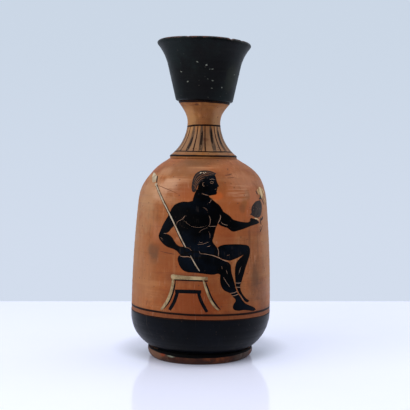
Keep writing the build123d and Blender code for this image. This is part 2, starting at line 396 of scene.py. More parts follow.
# Body: the tall thrown wall with its floor and rounded shoulder, of orange clay burnished on the wheel.
# It was pushed a little out of true while soft, and the neck is set into the hole at its top with slip.
BODY_BASE = 6.1
BODY_TOP = 104.7
WALL = 3.2
FLOOR = 5.0
NECK_HOLE = 8.6
WALL_STEP = 0.5
INNER_STEP = 2.0
TRUE_RADIUS = 20.0
UNROLL_RADIUS = 35.0
EYE_LEVEL = 122.0
EYE_FLATTENING = 58.0
PUSHES = [(-math.pi / 2, 97.0, 6.0, -1.1), (math.pi / 2, 96.5, 5.5, 0.5), (-math.pi / 2, 12.0, 8.0, 0.68)]
PUSH_WIDTH = 0.45

outer_heights = np.append(np.arange(BODY_BASE + 0.02, BODY_TOP - 0.2, WALL_STEP), BODY_TOP - 0.01)
inner_heights = np.arange(BODY_BASE + FLOOR + 0.3, BODY_TOP - WALL, INNER_STEP)
outside = felt_outline("body", AXIS_FOOT, LEAN_UP, outer_heights)
inside = felt_outline("body", AXIS_FOOT, LEAN_UP, inner_heights, True)


def leaning(radius, angle, height):
    """A point in the leaning frame of body and neck, in metres."""
    across = LEAN_RIGHT * (radius * math.sin(angle)) + FRONT * (radius * math.cos(angle))
    return AXIS_FOOT + (across + LEAN_UP * height) * MM


def lopsided(angle, height):
    """How far the soft wall was pushed: a low left shoulder, a full right one and a full left base."""
    push = 0
    for side, level, spread, far in PUSHES:
        turn = (angle - side + math.pi) % (2 * math.pi) - math.pi
        push += far * math.exp(-(turn / PUSH_WIDTH) ** 2 - ((height - level) / spread) ** 2)
    return push


def on_body(radius, angle, height):
    """A point of the body's hand-thrown wall."""
    stray = throwing(angle, height) + lopsided(angle, height)
    return leaning(radius + stray * min(1, radius / TRUE_RADIUS), angle, height)


def skin_of(outline, unroll, place):
    """A wall's outside: gives a point for a distance round from the front, a height and a lift."""
    radii, heights = np.array(outline).T

    def skin(across, height, lift):
        return place(np.interp(height, heights, radii) + lift, across / unroll, height)

    return skin


body_skin = skin_of(outside, UNROLL_RADIUS, on_body)


def drawn_skin(across, height, lift):
    """The body's outside for a drawing whose heights are set out as they look from the front."""
    raised = (EYE_LEVEL - height) / EYE_FLATTENING * math.cos(across / UNROLL_RADIUS)
    return body_skin(across, height + raised, lift)


def spot(across, height):
    """Where a mark on the body's outside sits, for a material."""
    return drawn_skin(across, height, 0)


BODY_PATCHES = [
    # Paler tan at the far left edge: painted sheen.
    (spot(-55, 66), (20, 24, 50), 0.6, (180, 134, 90)),
    (spot(-36, 44), (16, 18, 26), 0.5, (178, 122, 78)),
    # Pale patch over the left shoulder: worn clay with a painted highlight on it.
    (spot(-34, 86), (12, 12, 14), 0.6, (196, 150, 108)),
    (spot(-16, 99), (16, 16, 6), 0.45, (136, 94, 60)),
    (spot(-1, 102.5), (16, 16, 3), 0.55, (116, 82, 56)),
    (spot(16, 100), (12, 12, 5), 0.3, (196, 112, 58)),
    (spot(18, 80), (18, 18, 16), 0.6, (190, 98, 44)),
    (spot(-8, 86), (7, 7, 6), 0.5, (188, 96, 44)),
    (spot(-3, 31), (23, 23, 13), 0.85, (138, 60, 14)),
    (spot(-6, 44), (24, 24, 16), 0.35, (140, 64, 18)),
    (spot(-18, 61), (10, 10, 10), 0.4, (140, 68, 24)),
    (leaning(0, 0, 26), (200, 200, 3.5), 0.55, (106, 48, 18)),
    (spot(29, 42), (6, 6, 14), 0.3, (98, 62, 36)),
    (spot(32, 48), (6, 6, 11), 0.3, (102, 68, 42)),
    (spot(29.5, 43.5), (4, 4, 9), 0.4, (94, 58, 34)),
    (spot(37.5, 51), (3, 3, 7), 0.4, (104, 70, 46)),
    (spot(36, 36), (8, 8, 14), 0.45, (104, 64, 38)),
    (spot(31, 85), (7, 7, 10), 0.6, (196, 120, 80)),
    (spot(26.2, 86.4), (2.5, 2.5, 4), 0.5, (128, 86, 48)),
    (spot(23.6, 82.5), (2.5, 2.5, 4), 0.4, (132, 94, 46)),
    (spot(21.8, 79.4), (2.5, 2.5, 3.5), 0.45, (112, 70, 38)),
    # Paler at the right edge: painted sheen.
    (spot(47, 62), (16, 16, 45), 0.5, (206, 152, 108)),
    (spot(-26, 57), (5.5, 5.5, 5.2), 0.62, (96, 68, 46)),
    (spot(-25.8, 53), (4, 4, 3.2), 0.4, (108, 76, 50)),
    (spot(-33, 74), (10, 10, 12), 0.4, (182, 136, 94)),
    # Pale patches left of the head: painted highlights, broken up by the wheel's streaks.
    (spot(-21, 88), (14, 14, 9), 0.34, (220, 168, 128), True),
    (spot(-20, 91), (8, 8, 5), 0.5, (226, 178, 142)),
    (spot(-25, 86.5), (6, 6, 5), 0.4, (222, 172, 134)),
    (spot(-11, 88.5), (7, 7, 6), 0.4, (150, 78, 38)),
    (spot(8, 85.8), (3.6, 3.6, 3), 0.55, (216, 100, 34)),
    # Pale patch right of the head, and the next on the left shoulder: painted highlights.
    (spot(26, 94), (13, 13, 5.5), 0.5, (208, 140, 100)),
    (spot(-26, 97.5), (6, 6, 4), 0.45, (208, 156, 116)),
    (spot(11.5, 67), (7, 7, 13), 0.5, (158, 68, 24)),
    # Pale on top of the shoulder: painted highlight.
    (spot(-3, 98.6), (8, 8, 3), 0.35, (184, 128, 92)),
    (spot(-24.5, 67), (5, 5, 7), 0.5, (180, 114, 76)),
    (spot(-9, 44.5), (12, 12, 3.5), 0.5, (108, 54, 32)),
    # Pale streaky patches on the shoulder and right of the head: painted highlights.
    (spot(-15, 93), (9, 9, 3), 0.3, (224, 172, 134), True),
    (spot(2, 100), (10, 10, 2), 0.4, (216, 156, 112), True),
    (spot(21, 88), (9, 9, 6), 0.45, (222, 166, 126), True),
    (spot(-27, 37), (8, 8, 7), 0.35, (190, 126, 80), True),
]
BODY_CLAY = clay_finish("body clay", srgb(176, 106, 56), srgb(154, 84, 38), srgb(194, 134, 86), BODY_PATCHES)

body_outline = [(0, BODY_BASE)] + outside + [(NECK_HOLE, BODY_TOP), (NECK_HOLE, BODY_TOP - WALL)]
body_outline += inside[::-1] + [(0, BODY_BASE + FLOOR)]
body = thrown("body_clay", body_outline, on_body)
body.data.materials.append(BODY_CLAY)
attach(body, "root")
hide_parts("body")

# Neck: a thrown flaring tube of the same clay, whose spigot is set in the shoulder's hole with slip.
# The slip squeezed out under its base is wiped to a bead, and its top is trimmed to the slant of the mouth.
NECK_SEAT = BODY_TOP + 0.4
NECK_SPIGOT = 8.2
NECK_TOP = 134.4
NECK_BORE = 5.0
NECK_UNROLL_RADIUS = 12.0
NECK_FLARE = 0.25
NECK_STRAY = 0.45
NECK_STEP = 0.35
BORE_STEP = 3.0
TRIM_START = 128.0
BEAD_ROUNDING = [(-0.3, -0.05), (0.1, 0.0), (0.25, 0.2), (0.15, 0.38), (-0.2, 0.45)]
MOUTH_SLANT = math.tan(math.radians(2.6))
NECK_TRIM = MOUTH_SLANT - LEAN_UP.x / LEAN_UP.z

NECK_PATCHES = [
    (leaning(12.4, -0.32, 132.6), (1.6, 1.6, 0.6), 0.9, (84, 44, 24)),
    (leaning(10, 0.35, 127), (6, 6, 5), 0.5, (136, 82, 42)),
    (leaning(12, -0.15, 130), (6, 6, 4), 0.4, (132, 80, 38)),
    (leaning(0, 0, 113.5), (60, 60, 9), 0.6, (164, 128, 94)),
    (leaning(11, 0.08, 114.6), (2.4, 5, 1.3), 0.6, (96, 46, 24)),
    (leaning(11, 0.05, 115), (4.4, 6, 9), 0.5, (112, 72, 42)),
    (leaning(0, 0, 124), (200, 200, 3), 0.4, (116, 68, 34)),
    # Pale patches on the neck's left and right sides: painted highlights.
    (leaning(10, -0.95, 125), (6, 8, 11), 0.48, (212, 158, 100)),
    (leaning(10, 0.95, 125), (6, 8, 11), 0.44, (206, 158, 108)),
]
NECK_CLAY = clay_finish("neck clay", srgb(168, 110, 55), srgb(148, 90, 40), srgb(190, 134, 80), NECK_PATCHES)

neck_heights = np.arange(NECK_SEAT + 0.03, NECK_TOP - 0.4, NECK_STEP)
neck_outside = felt_outline("neck", AXIS_FOOT, LEAN_UP, neck_heights)
neck_outside.append((neck_outside[-1][0] + NECK_FLARE, NECK_TOP))


def on_neck(radius, angle, height):
    """A point of the neck's wall, trimmed at the top to meet the slanting mouth."""
    trim = max(0, (height - TRIM_START) / (NECK_TOP - TRIM_START)) * NECK_TRIM
    true = radius + throwing(angle, height) * NECK_STRAY
    return leaning(true, angle, height - trim * radius * math.sin(angle))


neck_skin = skin_of(neck_outside, NECK_UNROLL_RADIUS, on_neck)
bore_heights = np.arange(NECK_TOP, NECK_SEAT - 2, -BORE_STEP)
neck_outline = neck_outside + [(NECK_BORE, height) for height in bore_heights]
neck_outline += [(NECK_BORE, BODY_TOP - WALL), (NECK_SPIGOT, BODY_TOP - WALL)]
neck_outline += [(NECK_SPIGOT, NECK_SEAT), (neck_outside[0][0], NECK_SEAT)]
neck = thrown("neck_clay", neck_outline, on_neck)
neck.data.materials.append(NECK_CLAY)
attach(neck, "root")
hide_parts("neck")

LUTE_CLAY = clay_finish("lute clay", srgb(172, 112, 66), srgb(146, 86, 46), srgb(190, 138, 92))
bead_edge = neck_outside[0][0]
bead_outline = [(NECK_SPIGOT, BODY_TOP - WALL), (NECK_HOLE, BODY_TOP - WALL), (NECK_HOLE, BODY_TOP)]
bead_outline += [(bead_edge + outwards, BODY_TOP + up) for outwards, up in BEAD_ROUNDING]
bead_outline.append((NECK_SPIGOT, NECK_SEAT))
neck_bead = thrown("neck_bead", bead_outline, on_body)
neck_bead.data.materials.append(LUTE_CLAY)
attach(neck_bead, "root")
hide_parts("neck_lute")

# Mouth: a thrown calyx cup with a flared lip, dipped in black slip inside and out and fired a greenish black.
# The slip is pitted on the side and rubbed to red clay along the lip.
MOUTH_UNROLL_RADIUS = 17.0
MOUTH_TRUENESS = 30.0
LIP_RADIUS = 22.0
LIP_HEIGHT = 1.5
LIP_ZONE = 1.8
LIP_CHIPS = [(0.62, 0.06, 0.45), (0.95, 0.05, 0.35), (-0.35, 0.03, 0.2), (2.3, 0.08, 0.5), (-2.5, 0.05, 0.4)]

MOUTH_LEVEL = Vector((MOUTH_SLANT, 0, 1))
mouth_points = [v.co for v in frame["nodes"]["mouth"].data.vertices]
mouth_across = [point.x for point in mouth_points]
MOUTH_MIDDLE = Vector(((min(mouth_across) + max(mouth_across)) / 2, 0, 0))
mouth_heights = [(point - MOUTH_MIDDLE).dot(MOUTH_LEVEL) / MM for point in mouth_points]
MOUTH_LOW = min(mouth_heights)
MOUTH_HIGH = max(mouth_heights)
side_heights = np.linspace(MOUTH_LOW + 0.02, MOUTH_HIGH - LIP_HEIGHT - 0.1, 64)
lip_heights = MOUTH_HIGH - LIP_HEIGHT * (1 - np.sin(np.linspace(0, math.pi / 2, 10))) - 0.015
cup_heights = np.concatenate([side_heights, lip_heights])
cup_outside = felt_outline("mouth", MOUTH_MIDDLE, UPRIGHT, cup_heights)
cup_inside = felt_outline("mouth", MOUTH_MIDDLE, UPRIGHT, cup_heights, True)


def on_mouth(radius, angle, height):
    """A point of the slanting cup, with its slow ovalness and the chips along its lip."""
    near_lip = max(0, 1 - (MOUTH_HIGH - height) / LIP_ZONE)
    bite = chipped(angle, LIP_CHIPS) * near_lip
    wave = 0.16 * near_lip * math.sin(2 * angle + 1.0) + 0.07 * near_lip * math.sin(5 * angle)
    true = radius + throwing(angle, height) * radius / MOUTH_TRUENESS - 0.4 * bite * (radius > LIP_RADIUS)
    x = true * math.sin(angle)
    z = height - bite + wave - x * MOUTH_SLANT
    return MOUTH_MIDDLE + Vector((x, -true * math.cos(angle), z)) * MM


mouth_skin = skin_of(cup_outside, MOUTH_UNROLL_RADIUS, on_mouth)

MOUTH_SLIP, tree, shader = new_finish("mouth slip")
cloud = effect(tree, KILN_MOTTLE, Scale=85.0, Low=0.4, High=0.64)
brushed = effect(tree, WHEEL_MARKS, Round=24.0, Up=360.0)
colour = over(tree, cloud, srgb(6, 8, 8), srgb(18, 26, 25))
colour = over(tree, ranged(tree, brushed, 0.55, 0.8, 0.0, 0.6), colour, srgb(30, 31, 25))
# Painted shade and sheen: the slip is painted darker at its middle, which faces the front, and paler olive on
# its right side.
middle = wear_and_light_patch(tree, on_mouth(19, 0.12, 149), (11, 14, 22))
colour = touched(tree, colour, middle, 0.7, srgb(11, 9, 9))
olive = wear_and_light_patch(tree, on_mouth(18, 0.95, 147), (6, 8, 9))
colour = touched(tree, colour, olive, 0.5, srgb(44, 48, 37))
speck = effect(tree, PITS, Scale=640.0, Size=0.24)
colour = touched(tree, colour, speck, 0.4, srgb(86, 84, 74))
place = lay(tree, "TexCoord").outputs["Object"]
lip_way = lay(tree, "VectorMath", {0: place, 1: MOUTH_LEVEL}, operation="DOT_PRODUCT").outputs["Value"]
lip_level = MOUTH_MIDDLE.dot(MOUTH_LEVEL) + MOUTH_HIGH * MM
ragged = effect(tree, KILN_MOTTLE, Scale=330.0, Low=0.3, High=0.75)
edge = ranged(tree, lip_way, lip_level - 1.6 * MM, lip_level - 0.2 * MM)
worn = ranged(tree, sums(tree, "ADD", edge, ragged), 1.1, 1.5, 0.0, 0.75)
colour = over(tree, worn, colour, srgb(92, 54, 40))
roughness = ranged(tree, cloud, 0.0, 1.0, 0.38, 0.5)
surfaced(tree, shader, colour, roughness, 0.09, sums(tree, "SUBTRACT", brushed, speck), 0.00012)

mouth = thrown("mouth_cup", cup_outside + cup_inside[::-1], on_mouth)
mouth.data.materials.append(MOUTH_SLIP)
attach(mouth, "root")
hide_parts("mouth")

# Handle: a strap of clay pulled by hand, bent from the upper neck out and down to the shoulder.
# Its roots are smeared on with wet clay; its outside is painted black and its inside left bare.
HANDLE_JOINT = 128.3
HANDLE_REACH = 27.0
HANDLE_BEND = 14.0
HANDLE_RISE = 1.0
HANDLE_WIDTH = 13.0
HANDLE_THICKNESS = 4.8
HANDLE_SHOULDER = 100.5
HANDLE_SEAT = 96.6
HANDLE_SUNK = 1.2
HANDLE_ROUND = 36
HANDLE_ROOT = [(6.0, 0.0), (8.2, 0.45), (10.0, 0.75), (11.6, 0.93)]
BARE_INSIDE = -0.25
SMEAR_UNDER = 0.3

# The black slip's blue-black is partly its own colour and partly a painted bluish sheen.
BLACK_SLIP = slip_finish("black slip", srgb(3, 5, 9), srgb(7, 11, 18), 0.07, 0.3)


def handle_route():
    """The strap's middle line in the plane of the handle, as distance back from the axis and height."""
    route = [(back, HANDLE_JOINT + up) for back, up in HANDLE_ROOT]
    middle = (HANDLE_REACH - HANDLE_BEND, HANDLE_JOINT + HANDLE_RISE - HANDLE_BEND)
    for turn in np.linspace(math.radians(90), 0, 15):
        route.append((middle[0] + HANDLE_BEND * math.cos(turn), middle[1] + HANDLE_BEND * math.sin(turn)))
    for height in np.linspace(middle[1], HANDLE_SHOULDER, 12)[1:]:
        route.append((HANDLE_REACH + 0.2 * math.sin(0.3 * height), height))
    return np.array(route)


def travelled(line):
    """How far along a line each of its points lies, and which way the line runs there."""
    run = np.concatenate([[0], np.cumsum(np.linalg.norm(np.diff(line, axis=0), axis=1))])
    along = np.gradient(line, axis=0)
    return run, along / np.linalg.norm(along, axis=1)[:, None]


def shoulder_height(reach):
    """Height of the shoulder's outside at a distance from the axis."""
    top = np.array([corner for corner in outside if corner[1] > HANDLE_SEAT - 20])
    return np.interp(reach, top[::-1, 0], top[::-1, 1])


route = np.vstack([handle_route(), (HANDLE_REACH, HANDLE_SEAT)])
run, along = travelled(route)
handle_points = []
for (back, height), (ahead, rise), far in zip(route, along, run):
    foot_flare = math.exp(-(run[-1] - far) / 3.0)
    root = math.exp(-far / 2.2) + foot_flare
    waist = 1 - 0.09 * math.sin(math.pi * far / run[-1]) - 0.3 * math.exp(-far / 6.0) + 0.2 * foot_flare
    for step in range(HANDLE_ROUND):
        turn = 2 * math.pi * step / HANDLE_ROUND
        side = math.copysign(abs(math.sin(turn)) ** 0.55, math.sin(turn))
        out = math.copysign(abs(math.cos(turn)) ** 0.75, math.cos(turn))
        pulled = 0.13 * math.sin(9 * side + 0.05 * far) * abs(out) * (1 - foot_flare)
        wide = side * HANDLE_WIDTH / 2 * waist + 0.12 * math.sin(0.7 * far)
        thick = out * HANDLE_THICKNESS / 2 * (1 + 0.38 * root) + pulled
        y = back - rise * thick
        z = height + ahead * thick
        if far == run[-1]:
            z = shoulder_height(math.hypot(y, wide)) - HANDLE_SUNK
        handle_points.append(AXIS_FOOT + (LEAN_RIGHT * wide - FRONT * y + LEAN_UP * z) * MM)
ring_starts = range(0, len(handle_points), HANDLE_ROUND)
handle_rings = [ring(first, HANDLE_ROUND, HANDLE_ROUND) for first in ring_starts]
handle_ends = [handle_rings[0][:-1], handle_rings[-1][:-1]]
handle = fired("handle_strap", handle_points, handle_ends + joined(handle_rings))
handle.data.materials.append(BLACK_SLIP)
handle.data.materials.append(BODY_CLAY)
for face in list(handle.data.polygons)[2:]:
    step = (face.index - 2) % HANDLE_ROUND + 0.5
    if math.cos(2 * math.pi * step / HANDLE_ROUND) < BARE_INSIDE:
        face.material_index = 1
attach(handle, "root")
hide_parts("handle")


def smear(middle, half, thick, skin):
    """Points and faces of a low mound of clay thumbed onto a wall, thinning to its edge."""
    turns = np.linspace(0, 2 * math.pi, 48, endpoint=False)
    count = len(turns)
    shares = np.linspace(0, 1, 9)[1:]
    layers = [(share, thick * (1 - share ** 2) ** 1.5) for share in shares]
    layers += [(share, -SMEAR_UNDER) for share in shares[::-1]]
    points = [skin(*middle, thick), skin(*middle, -SMEAR_UNDER)]
    rings = [ring(0, 1, count)]
    for share, lift in layers:
        rings.append(ring(len(points), count, count))
        for turn in turns:
            ragged = 1 + 0.06 * math.sin(3 * turn + 1) + 0.04 * math.sin(7 * turn)
            across = middle[0] + half[0] * share * ragged * math.sin(turn)
            points.append(skin(across, middle[1] + half[1] * share * ragged * math.cos(turn), lift))
    return points, joined(rings + [ring(1, 1, count)])


low_middle = (math.pi * UNROLL_RADIUS, HANDLE_SEAT - 0.4)
high_middle = (math.pi * NECK_UNROLL_RADIUS, HANDLE_JOINT - 0.2)
smear_points, smear_faces = smear(low_middle, (12.5, 6.0), 1.3, body_skin)
high_points, high_faces = smear(high_middle, (9.6, 4.6), 0.9, neck_skin)
smear_faces += [[corner + len(smear_points) for corner in face] for face in high_faces]
smear_points += high_points
handle_smears = fired("handle_smears", smear_points, smear_faces)
handle_smears.data.materials.append(BODY_CLAY)
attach(handle_smears, "root")
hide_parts("handle_lutes")

# Black slip on foot, wall and neck: coats and lines laid with a full brush while the pot turned on the wheel.
# Each is a thin skin of slip on the clay, with the brush's waver along its edges.
SLIP = 0.05
UNDER = 0.1
THIN_EDGE = 0.3
SLIPPED_SLOPE = 0.35
BARE_SIDES = 0.84
FOOT_BARE = 3.7
FOOT_BARE_SIDES = 1.3
FOOT_BARE_MOST = 5.0
WALL_BLACK_TOP = 24.3
WALL_TILT = 0.15


def waver(angle, size, phase):
    """The waver of a hand-held brush against the turning pot."""
    slow = math.sin(3 * angle + phase) + 0.6 * math.sin(7 * angle + 2 * phase)
    return size * (slow + 0.4 * math.sin(17 * angle))


def level(angle):
    """The course of a line that runs level."""
    return 0


def wall_tilt(angle):
    """The course of the wall's lines, which drop a little towards the right."""
    return -WALL_TILT * math.sin(angle)


def high_bow(angle):
    """The course of the neck's upper line, which rises towards the front, where the brush set down."""
    return 0.38 * math.cos(angle) + 0.2 * math.sin(angle)


def brushed_edge(height, size=0.0, phase=0.0, course=level):
    """The edge of a coat: its height at each angle, from its course and the brush's waver."""
    return lambda angle: height + course(angle) + waver(angle, size, phase)


def foot_bare_edge(angle):
    """The lower edge of the foot's black, which rises at the sides."""
    rise = FOOT_BARE_SIDES * math.sin(angle) ** 2
    return min(FOOT_BARE_MOST, FOOT_BARE + rise + waver(angle, 0.1, 0.4))


def coat(name, skin, radius, low, high, rows, finish):
    """A ring of slip round a wall, between a lower and an upper edge given for each angle."""
    points = []
    rings = []
    for step in range(AROUND):
        angle = 2 * math.pi * step / AROUND
        heights = np.linspace(low(angle), high(angle), rows)
        lifts = [SLIP * THIN_EDGE] + [SLIP] * (rows - 2) + [SLIP * THIN_EDGE]
        rings.append(ring(len(points), 2 * rows, 2 * rows))
        points += [skin(angle * radius, height, lift) for height, lift in zip(heights, lifts)]
        points += [skin(angle * radius, height, -UNDER) for height in heights[::-1]]
    piece = fired(name, points, joined(rings + rings[:1]))
    piece.data.materials.append(finish)
    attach(piece, "root")


foot_radii = np.array(foot_profile).T


def foot_skin(across, height, lift):
    """A point on the foot's edge: its distance round from the front, its height and its lift."""
    radius = np.interp(height, foot_radii[1], foot_radii[0])
    return on_foot(radius, across / UNROLL_RADIUS, height, lift)


LINE_SLIP = slip_finish("line slip", srgb(24, 10, 5), srgb(44, 22, 13), 0.07, 0.5)
bare_edge = (foot_profile[-1][0] - BARE_RIM) * MM
for piece, lowest in ((foot, 0), (neck, NECK_TOP - 1.2)):
    piece.data.materials.append(DULL_SLIP)
    for face in piece.data.polygons:
        x, y, z = face.center
        bare = math.hypot(x, y) > bare_edge and abs(x) > BARE_SIDES * bare_edge
        if face.normal.z > SLIPPED_SLOPE and z > lowest * MM and not bare:
            face.material_index = 1
coat("foot_black", foot_skin, UNROLL_RADIUS, foot_bare_edge, brushed_edge(FOOT_TOP - 0.02), 9, DULL_SLIP)
wall_black_edge = brushed_edge(WALL_BLACK_TOP, 0.1, 0.6, wall_tilt)
coat("wall_black", body_skin, UNROLL_RADIUS, brushed_edge(BODY_BASE), wall_black_edge, 44, BLACK_SLIP)
wall_edge_top = brushed_edge(WALL_BLACK_TOP + 0.7, 0.07, 1.7, wall_tilt)
coat("wall_black_edge", body_skin, UNROLL_RADIUS, wall_black_edge, wall_edge_top, 5, LINE_SLIP)
ground = (brushed_edge(26.85, 0.06, 2.9, wall_tilt), brushed_edge(27.9, 0.05, 3.3, wall_tilt))
coat("ground_line", body_skin, UNROLL_RADIUS, *ground, 5, LINE_SLIP)
NECK_LINES = [
    ("neck_base_line", (105.7, 0.05, 0.9), (106.65, 0.06, 5.1), 7),
    ("neck_low_line", (108.1, 0.07, 4.0), (108.7, 0.07, 4.6), 4),
    ("neck_high_line", (121.3, 0.05, 2.2, high_bow), (122.2, 0.05, 2.9, high_bow), 4),
    ("neck_top_line", (NECK_TOP - 0.8, 0.06, 1.2), (NECK_TOP - 0.03,), 4),
]
for name, low, high, rows in NECK_LINES:
    coat(name, neck_skin, NECK_UNROLL_RADIUS, brushed_edge(*low), brushed_edge(*high), rows, LINE_SLIP)

# Painted figure: a seated man drawn in black slip on the clay, with inner lines cut through to the clay.
# Points are distance round from the front and height; each shape is a thin skin of slip.
CELL = 1.2
CURVE_STEP = 0.4
STROKE_STEP = 0.5
NARROWING = 0.2
THIN_RIM = 0.4
CONTOUR = 0.9


def brush_line(points, spacing=CURVE_STEP):
    """A smooth line drawn through hand-set points."""
    points = np.array(points, float)
    chord = np.diff(points, axis=0)
    span = np.linalg.norm(chord, axis=1)[:, None]
    slope = chord / span
    between = (slope[:-1] * span[1:] + slope[1:] * span[:-1]) / (span[1:] + span[:-1])
    pull = np.vstack([slope[:1], between, slope[-1:]])
    line = []
    for i in range(len(span)):
        steps = max(2, math.ceil(span[i, 0] / spacing))
        for t in np.arange(steps) / steps:
            place = points[i] * (2 * t ** 3 - 3 * t ** 2 + 1) + points[i + 1] * (3 * t ** 2 - 2 * t ** 3)
            bend = pull[i] * (t ** 3 - 2 * t ** 2 + t) + pull[i + 1] * (t ** 3 - t ** 2)
            line.append(place + bend * span[i, 0])
    return np.array(line + [points[-1]])


def outline(*runs):
    """A closed outline of smooth runs, each starting from the corner where the last one ended."""
    parts = []
    corner = []
    for run in runs:
        parts.append(brush_line(corner + run)[:-1])
        corner = run[-1:]
    if corner != runs[0][:1]:
        parts.append(brush_line(corner + runs[0][:1])[:-1])
    return np.vstack(parts)


def stroke(width, *points, ends=0.35):
    """The outline of one stroke of brush or graver, narrowed at both ends."""
    line = brush_line(points, STROKE_STEP)
    run, along = travelled(line)
    share = run / run[-1]
    half = width / 2 * np.minimum(1, ends + (1 - ends) * np.minimum(share, 1 - share) / NARROWING)
    side = np.stack([-along[:, 1], along[:, 0]], 1) * half[:, None]
    return np.vstack([line + side, (line - side)[::-1]])


def within(points, shape):
    """Which points lie inside a closed outline, by counting the sides they cross."""
    x, y = points[:, :1], points[:, 1:]
    after = np.roll(shape, -1, axis=0)
    rise = np.where(after[:, 1] == shape[:, 1], 1e-9, after[:, 1] - shape[:, 1])
    crossed = (shape[:, 1] > y) != (after[:, 1] > y)
    at = shape[:, 0] + (after[:, 0] - shape[:, 0]) * (y - shape[:, 1]) / rise
    return (crossed & (x < at)).sum(1) % 2 == 1


def painted(name, skin, shapes, cuts, finish, lift=SLIP, bounds=None):
    """Slip laid on a wall as a thin closed skin: inside any of the shapes and outside every cut."""
    corners = []
    edges = []
    for shape in [*shapes, *cuts, *(bounds or [])]:
        first = len(corners)
        corners += [Vector(point) for point in shape]
        edges += [(first + i, first + (i + 1) % len(shape)) for i in range(len(shape))]
    low = np.min([np.min(shape, axis=0) for shape in shapes], axis=0)
    high = np.max([np.max(shape, axis=0) for shape in shapes], axis=0)
    for across in np.arange(low[0], high[0], CELL):
        corners += [Vector((across, height)) for height in np.arange(low[1], high[1], CELL)]
    flat, _, triangles, *_ = delaunay_2d_cdt(corners, edges, [], 0, 1e-4)
    flat = np.array([tuple(point) for point in flat])
    triangles = np.array([tuple(triangle) for triangle in triangles])
    middles = flat[triangles].mean(axis=1)
    kept = np.any([within(middles, shape) for shape in shapes], axis=0)
    if bounds:
        kept &= np.any([within(middles, shape) for shape in bounds], axis=0)
    for cut in cuts:
        kept &= ~within(middles, cut)
    triangles = triangles[kept]
    pinched = triangles
    while len(pinched):
        sides = {}
        for triangle in triangles.tolist():
            for i in range(3):
                side = (triangle[i], triangle[(i + 1) % 3])
                sides[tuple(sorted(side))] = None if tuple(sorted(side)) in sides else side
        border = [side for side in sides.values() if side]
        pinched = np.flatnonzero(np.bincount(np.ravel(border)) > 2)
        triangles = triangles[~np.isin(triangles, pinched).any(axis=1)]
    rim = {corner for side in border for corner in side}
    used = sorted(set(triangles.ravel().tolist()))
    number = {corner: i for i, corner in enumerate(used)}
    points = [skin(*flat[corner], lift * (THIN_RIM if corner in rim else 1)) for corner in used]
    points += [skin(*flat[corner], -UNDER) for corner in used]
    count = len(used)
    faces = [[number[c] for c in triangle] for triangle in triangles.tolist()]
    faces += [[number[c] + count for c in triangle[::-1]] for triangle in triangles.tolist()]
    faces += [[number[b], number[a], number[a] + count, number[b] + count] for a, b in border]
    mesh = bpy.data.meshes.new(name)
    mesh.from_pydata(points, [], faces)
    normals = []
    for corner in used:
        across, height = flat[corner]
        round_way = skin(across + 0.5, height, 0) - skin(across - 0.5, height, 0)
        up_way = skin(across, height + 0.5, 0) - skin(across, height - 0.5, 0)
        normals.append(round_way.cross(up_way).normalized())
    mesh.shade_smooth()
    mesh.normals_split_custom_set_from_vertices(normals + [-normal for normal in normals])
    mesh.materials.append(finish)
    piece = placed(name, mesh)
    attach(piece, "root")


TORSO = outline(
    [(-3.0, 89), (-4.0, 87), (-4.7, 84.8), (-5.0, 83.2)],
    [(-7.4, 82.6), (-9.6, 82.7), (-12.4, 82.0), (-14.2, 81.2), (-16, 79.2), (-17, 77)],
    [(-15, 72), (-12.6, 68), (-10.6, 63), (-8.6, 59.5), (-8, 57)],
    [(-4, 54.5), (2, 55), (8.2, 55.6)],
    [(8.2, 58), (7.6, 59.8), (6.6, 61), (5.8, 62), (5.3, 63.2), (5.8, 65.2), (6.4, 67.6), (7, 70), (8, 72)],
    [(10, 74.5), (10.8, 78)],
    [(9.8, 79.8), (8.4, 81.5), (6.6, 82.8), (5, 84.1)],
    [(4.1, 84.8), (3.4, 85.6), (3.3, 88)],
)
BENT_ARM = outline(
    [(-13, 81), (-16, 79.2), (-17, 77), (-18.2, 74.8), (-20, 72), (-21.5, 69), (-22.5, 66.7), (-23.1, 65.1),
     (-22.7, 63.7), (-21.2, 62), (-19, 60.3), (-17, 59.4), (-14, 58.6), (-12.1, 57.6), (-11, 56.4)],
    [(-10.2, 55.6), (-8, 55.4), (-5.6, 55.2), (-4.5, 56), (-4.2, 57.3), (-4.8, 58.6), (-6.5, 59.6),
     (-8.5, 60), (-10.6, 60.1), (-12.2, 60.9), (-13.5, 62.4), (-14.8, 64.2), (-16.4, 65.5), (-18.6, 66.3)],
    [(-17.2, 67.1), (-15.6, 69), (-14.2, 70.4), (-13, 72), (-11, 76)],
)
REACHING_ARM = outline(
    [(7.5, 80), (9.5, 79.5), (10.8, 78), (12.9, 76.7), (14.6, 75.5), (15.9, 74.1), (17.8, 73.5), (20, 73),
     (23, 72.6), (25.6, 72.6), (27, 73.1)],
    [(26.9, 74), (27.5, 74.6), (29, 74.4), (31.2, 73.9), (33.2, 73.2), (34.7, 72.2)],
    [(33, 71.6), (30, 71.1), (27, 70.5), (24, 69.7), (21.5, 69), (19, 68.4), (16.6, 67.9), (15.3, 68.1),
     (14, 68.9), (12.8, 69.8), (11, 70.3), (9.4, 70.9), (8.3, 71.7)],
    [(6.5, 74), (7.5, 80)],
)
